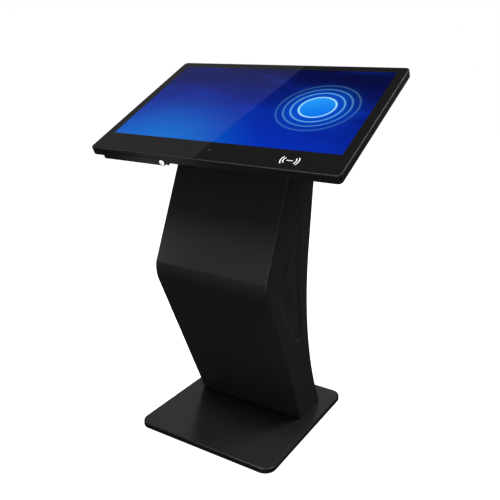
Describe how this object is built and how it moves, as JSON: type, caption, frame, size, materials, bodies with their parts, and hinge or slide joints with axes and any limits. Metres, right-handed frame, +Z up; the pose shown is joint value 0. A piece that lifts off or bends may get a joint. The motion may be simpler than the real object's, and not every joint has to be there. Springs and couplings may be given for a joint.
{
  "type": "touchscreen kiosk",
  "caption": "Free-standing touchscreen kiosk: tilted glass-fronted display head on a folded steel pedestal with a rounded nose, side speaker grilles and a weighted flat base.",
  "frame": {"origin": "on the floor under the centre of the base", "axes": "+X to the right of a visitor who faces the screen, +Y away from the visitor, +Z up"},
  "size_m": [0.7536, 0.4786, 1.0487],
  "materials": {
    "cover_glass": "polished, printed black round the picture",
    "display": "lit picture behind the glass",
    "black_foam": "closed-cell foam",
    "sensor_film": "clear film",
    "frame_paint": "satin black powder coat",
    "panel_paint": "fine-texture black powder coat",
    "base_paint": "fine-texture black powder coat",
    "zinc_steel": "zinc plated",
    "raw_steel": "hot rolled plate",
    "bright_metal": "polished chrome",
    "black_screws": "black oxide",
    "circuit_board": "green solder mask",
    "black_plastic": "moulded, fine grain",
    "white_plastic": "moulded",
    "speaker_paper": "pressed paper and rubber roll",
    "cable_jacket": "braided sleeve",
    "rubber": "moulded rubber"
  },
  "bodies": {
    "root": {"cover_glass": "cover_glass", "glass_gasket": "black_foam", "touch_sensor": "sensor_film", "lcd_panel": "display", "head_frame": "frame_paint", "panel_rails": "zinc_steel", "standoffs": "zinc_steel", "mount_plate": "zinc_steel", "back_cover": "panel_paint", "cover_screws": "black_screws", "mainboard": "circuit_board", "backlight_driver": "circuit_board", "power_supply": "zinc_steel", "fan_housing": "black_plastic", "contactless_reader": "circuit_board", "light_sensor": "black_plastic", "io_box": "panel_paint", "port_plate": "zinc_steel", "port_sockets": "bright_metal", "top_plate": "zinc_steel", "neck_bolts": "zinc_steel", "front_panel": "panel_paint", "left_side_panel": "panel_paint", "right_side_panel": "panel_paint", "left_grille": "panel_paint", "right_grille": "panel_paint", "left_speaker": "black_plastic", "right_speaker": "black_plastic", "left_cone": "speaker_paper", "right_cone": "speaker_paper", "left_rib": "zinc_steel", "right_rib": "zinc_steel", "cross_tubes": "zinc_steel", "component_shelf": "zinc_steel", "media_player": "black_plastic", "power_strip": "white_plastic", "cable_loom": "cable_jacket", "rear_panel": "panel_paint", "door_leaves_fixed": "black_screws", "door_hinge_pins": "bright_metal", "mains_inlet": "black_plastic", "switch_housing": "black_plastic", "foot_plate": "zinc_steel", "base_cover": "base_paint", "ballast_plate": "raw_steel", "rubber_feet": "rubber", "base_bolts": "zinc_steel"},
    "hatch_door": {"hatch_door": "frame_paint", "hatch_pins": "bright_metal"},
    "hatch_lock": {"hatch_lock": "bright_metal"},
    "power_button": {"power_button": "bright_metal"},
    "fan_rotor": {"fan_rotor": "black_plastic"},
    "rear_door": {"rear_door": "panel_paint", "door_leaves_moving": "black_screws"},
    "door_lock": {"door_lock": "bright_metal"},
    "switch_rocker": {"switch_rocker": "black_plastic"}
  },
  "joints": [
    {"name": "hatch_hinge", "type": "hinge", "parent": "root", "child": "hatch_door", "pos_m": [0, -0.22059, 0.79244], "axis": [1, 0, 0], "range_deg": [0, 95]},
    {"name": "hatch_lock_turn", "type": "hinge", "parent": "hatch_door", "child": "hatch_lock", "pos_m": [-0.12915, -0.22901, 0.79781], "axis": [0, 0.887, 0.4617], "range_deg": [0, 90]},
    {"name": "power_button_press", "type": "slide", "parent": "root", "child": "power_button", "axis": [0, 0.887, 0.4617], "range_m": [0, 0.0015], "stiffness_N_per_m": 300, "springref_m": -0.001},
    {"name": "fan_spin", "type": "hinge", "parent": "root", "child": "fan_rotor", "pos_m": [0.225, 0.11365, 0.94502], "axis": [0, -0.4617, 0.887], "continuous": true},
    {"name": "rear_door_hinge", "type": "hinge", "parent": "root", "child": "rear_door", "pos_m": [-0.1494, 0.04812, 0.70561], "axis": [0, 0.0698, 0.9976], "range_deg": [0, 110]},
    {"name": "door_lock_turn", "type": "hinge", "parent": "rear_door", "child": "door_lock", "pos_m": [0.126, 0.04413, 0.70589], "axis": [0, -0.9976, 0.0698], "range_deg": [0, 90]},
    {"name": "switch_rocker_tilt", "type": "hinge", "parent": "root", "child": "switch_rocker", "pos_m": [0.12, 0.11569, 0.08332], "axis": [1, 0, 0], "range_deg": [-20, 0]}
  ]
}
